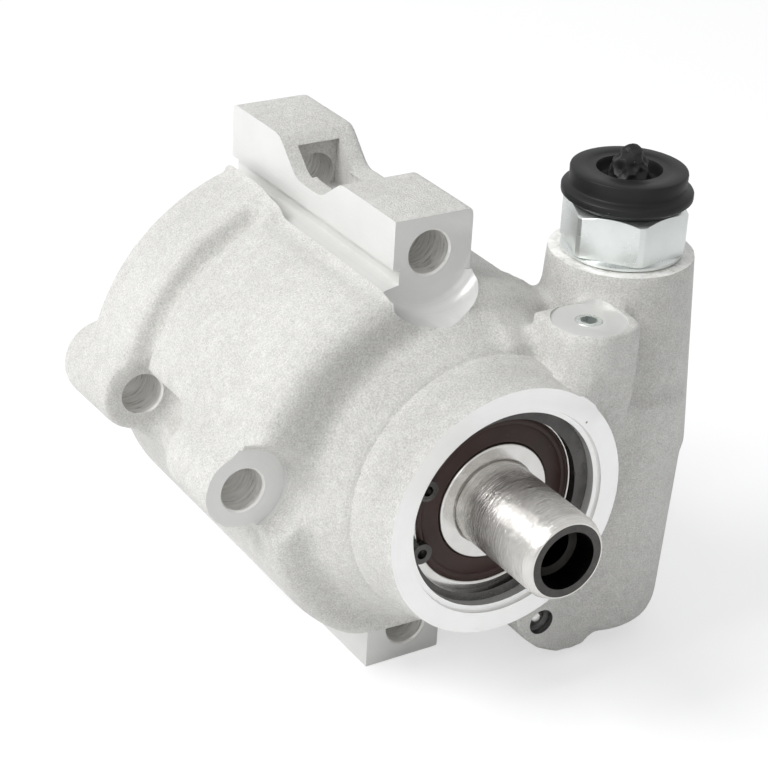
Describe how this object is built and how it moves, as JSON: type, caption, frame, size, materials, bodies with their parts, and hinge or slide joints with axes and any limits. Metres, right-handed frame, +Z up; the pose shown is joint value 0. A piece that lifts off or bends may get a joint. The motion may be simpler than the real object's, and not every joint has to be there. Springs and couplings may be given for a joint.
{
  "type": "power steering pump",
  "caption": "Vane type hydraulic pump in a cast aluminium housing with bolt lugs, a bare drive shaft, an upright flow valve and a plugged outlet union.",
  "frame": {"origin": "on the shaft axis, in the plane of the machined front face of the nose", "axes": "+Y along the shaft from the nose towards the end cover, +Z up along the valve barrel, +X towards the valve barrel"},
  "size_m": [0.1037, 0.1074, 0.1048],
  "materials": {
    "cast_aluminium": "as-cast with machined faces",
    "ground_steel": "ground",
    "bearing_steel": "polished",
    "spring_steel": "dark oiled",
    "sintered_steel": "lapped",
    "zinc_plate": "clear zinc plated",
    "brown_rubber": "moulded",
    "black_rubber": "moulded",
    "bronze": "bored"
  },
  "bodies": {
    "pump": {"bearing_circlip": "spring_steel", "bearing_front_seal": "brown_rubber", "bearing_outer_ring": "bearing_steel", "bearing_rear_seal": "brown_rubber", "cam_ring": "sintered_steel", "dowel_pins": "bearing_steel", "end_cover": "zinc_plate", "end_cover_o_ring": "black_rubber", "end_cover_ring": "spring_steel", "flow_valve_spring": "spring_steel", "lower_passage_ball": "bearing_steel", "outlet_union": "zinc_plate", "pressure_plate": "sintered_steel", "pressure_plate_o_ring": "black_rubber", "pressure_plate_spring": "spring_steel", "pump_housing": "cast_aluminium", "shaft_bush": "bronze", "shaft_lip_seal": "black_rubber", "thrust_plate": "sintered_steel", "union_o_ring": "black_rubber", "upper_passage_plug": "zinc_plate"},
    "shaft": {"drive_shaft": "ground_steel", "bearing_inner_ring": "bearing_steel", "rotor": "sintered_steel", "rotor_ring": "spring_steel"},
    "cage": {"bearing_cage": "bearing_steel", "bearing_balls": "bearing_steel"},
    "spool": {"flow_valve_spool": "ground_steel", "relief_seat": "ground_steel", "relief_spring": "spring_steel"},
    "relief": {"relief_ball": "bearing_steel", "relief_guide": "ground_steel"},
    "plug": {"shipping_plug": "black_rubber"},
    "vane_1": {"vane_1": "ground_steel"},
    "vane_2": {"vane_2": "ground_steel"},
    "vane_3": {"vane_3": "ground_steel"},
    "vane_4": {"vane_4": "ground_steel"},
    "vane_5": {"vane_5": "ground_steel"},
    "vane_6": {"vane_6": "ground_steel"},
    "vane_7": {"vane_7": "ground_steel"},
    "vane_8": {"vane_8": "ground_steel"},
    "vane_9": {"vane_9": "ground_steel"},
    "vane_10": {"vane_10": "ground_steel"}
  },
  "joints": [
    {"name": "shaft_spin", "type": "hinge", "parent": "pump", "child": "shaft", "pos_m": [0, 0, 0], "axis": [0, -1, 0], "continuous": true},
    {"name": "cage_spin", "type": "hinge", "parent": "pump", "child": "cage", "pos_m": [0, 0, 0], "axis": [0, -1, 0], "continuous": true},
    {"name": "spool_slide", "type": "slide", "parent": "pump", "child": "spool", "axis": [0, 0, 1], "range_m": [-0.009, 0], "stiffness_N_per_m": 1500, "springref_m": 0.008, "deforming": ["flow_valve_spring"]},
    {"name": "relief_slide", "type": "slide", "parent": "spool", "child": "relief", "axis": [0, 0, 1], "range_m": [-0.001, 0], "stiffness_N_per_m": 2000, "springref_m": 0.002, "deforming": ["relief_spring"]},
    {"name": "plug_pull", "type": "slide", "parent": "pump", "child": "plug", "axis": [0, 0, 1], "range_m": [0, 0.025]},
    {"name": "vane_1_slide", "type": "slide", "parent": "shaft", "child": "vane_1", "axis": [0.9511, 0, 0.309], "range_m": [-0.0018, 0]},
    {"name": "vane_2_slide", "type": "slide", "parent": "shaft", "child": "vane_2", "axis": [0.5878, 0, 0.809], "range_m": [-0.0018, 0]},
    {"name": "vane_3_slide", "type": "slide", "parent": "shaft", "child": "vane_3", "axis": [0, 0, 1], "range_m": [-0.0018, 0]},
    {"name": "vane_4_slide", "type": "slide", "parent": "shaft", "child": "vane_4", "axis": [-0.5878, 0, 0.809], "range_m": [-0.0018, 0]},
    {"name": "vane_5_slide", "type": "slide", "parent": "shaft", "child": "vane_5", "axis": [-0.9511, 0, 0.309], "range_m": [-0.0018, 0]},
    {"name": "vane_6_slide", "type": "slide", "parent": "shaft", "child": "vane_6", "axis": [-0.9511, 0, -0.309], "range_m": [-0.0018, 0]},
    {"name": "vane_7_slide", "type": "slide", "parent": "shaft", "child": "vane_7", "axis": [-0.5878, 0, -0.809], "range_m": [-0.0018, 0]},
    {"name": "vane_8_slide", "type": "slide", "parent": "shaft", "child": "vane_8", "axis": [0, 0, -1], "range_m": [-0.0018, 0]},
    {"name": "vane_9_slide", "type": "slide", "parent": "shaft", "child": "vane_9", "axis": [0.5878, 0, -0.809], "range_m": [-0.0018, 0]},
    {"name": "vane_10_slide", "type": "slide", "parent": "shaft", "child": "vane_10", "axis": [0.9511, 0, -0.309], "range_m": [-0.0018, 0]}
  ],
  "couplings": [
    {"joint": "cage_spin", "follows": "shaft_spin", "ratio": 0.38319}
  ]
}
